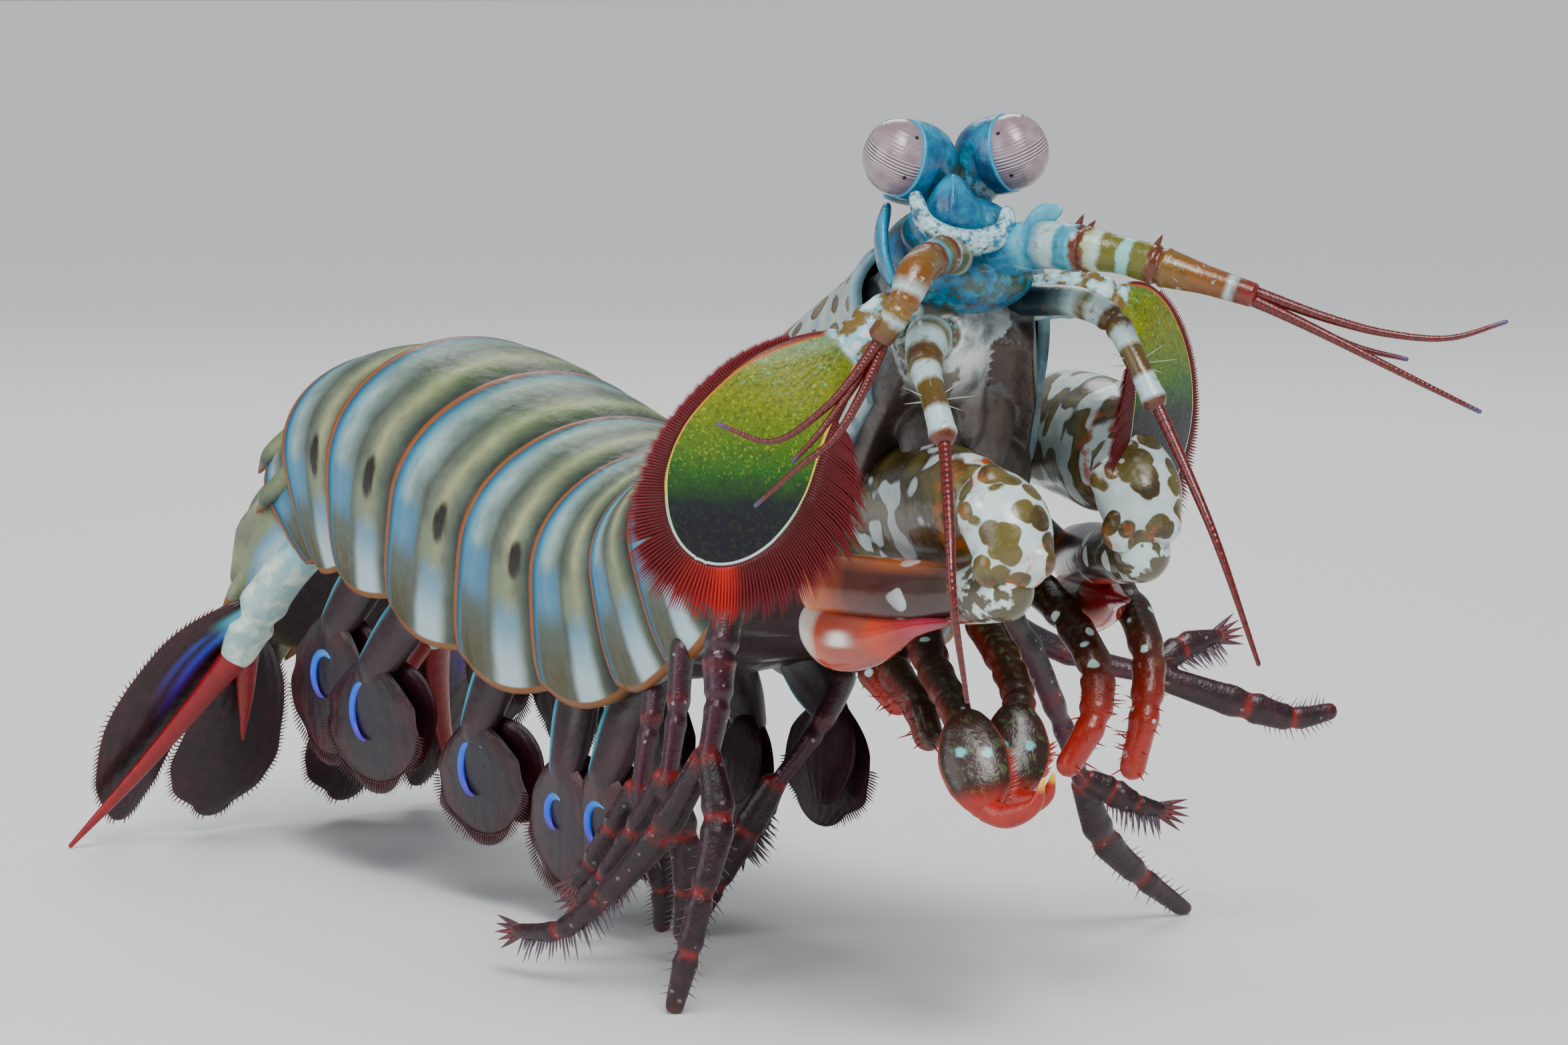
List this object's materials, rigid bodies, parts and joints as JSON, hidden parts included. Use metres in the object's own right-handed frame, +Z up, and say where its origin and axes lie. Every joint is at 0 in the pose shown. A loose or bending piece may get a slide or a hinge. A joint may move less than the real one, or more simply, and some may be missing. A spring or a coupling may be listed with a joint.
{
  "type": "mantis shrimp",
  "caption": "Life-size peacock mantis shrimp standing on its legs, fore body raised, clubs folded, stalked eyes up, broad feeler scales spread and tail fan lowered to the floor.",
  "frame": {"origin": "middle of the plan outline, on the floor plane that the feet stand on", "axes": "+Z up; the abdomen lies along Y with the tail towards +Y and the head towards -Y; the animal's left is +X"},
  "size_m": [0.0724, 0.1476, 0.0666],
  "materials": {
    "cornea": "smooth glossy pale pink cornea",
    "blue_shell": "satin blue shell",
    "body_shell": "satin banded green-grey shell",
    "spotted_shell": "satin pale shell with brown spots",
    "ringed": "satin olive-brown shell with pale rings",
    "scale_blade": "glossy iridescent green blade with red fringe",
    "claw": "glossy white and brown blotched shell",
    "club": "glossy orange-red shell",
    "leg": "satin dark maroon shell",
    "fan": "thin dark maroon membrane",
    "maxilliped": "satin dark brown shell with red edges"
  },
  "bodies": {
    "root": {"eye_right": "cornea", "eyestalk_right": "blue_shell", "eye_left": "cornea", "eyestalk_left": "blue_shell", "thorax_6": "body_shell", "thorax_7": "body_shell", "thorax_8": "body_shell", "abdomen_1": "body_shell", "abdomen_2": "body_shell", "abdomen_3": "body_shell", "abdomen_4": "body_shell", "abdomen_5": "body_shell", "abdomen_6": "body_shell", "telson": "body_shell", "carapace": "spotted_shell", "head": "blue_shell", "rostral_plate": "blue_shell", "cephalothorax": "spotted_shell", "antennule_left": "ringed", "antennule_right": "ringed", "antenna_right": "ringed", "antenna_left": "ringed", "antennal_scale_right": "scale_blade", "antennal_scale_left": "scale_blade", "raptorial_merus_right": "claw", "raptorial_carpus_right": "claw", "raptorial_propodus_right": "claw", "raptorial_dactyl_right": "club", "raptorial_merus_left": "claw", "raptorial_carpus_left": "claw", "raptorial_propodus_left": "claw", "raptorial_dactyl_left": "club", "maxilliped_3_right": "maxilliped", "maxilliped_3_left": "maxilliped", "maxilliped_4_right": "maxilliped", "maxilliped_4_left": "maxilliped", "maxilliped_5_right": "maxilliped", "maxilliped_5_left": "maxilliped", "leg_1_right": "leg", "leg_2_right": "leg", "leg_3_right": "leg", "leg_1_left": "leg", "leg_2_left": "leg", "leg_3_left": "leg", "pleopod_1_right": "fan", "pleopod_1_left": "fan", "pleopod_2_right": "fan", "pleopod_2_left": "fan", "pleopod_3_right": "fan", "pleopod_3_left": "fan", "pleopod_4_right": "fan", "pleopod_4_left": "fan", "pleopod_5_right": "fan", "pleopod_5_left": "fan", "uropod_right": "fan", "uropod_endopod_right": "fan", "uropod_left": "fan", "uropod_endopod_left": "fan"}
  },
  "joints": []
}
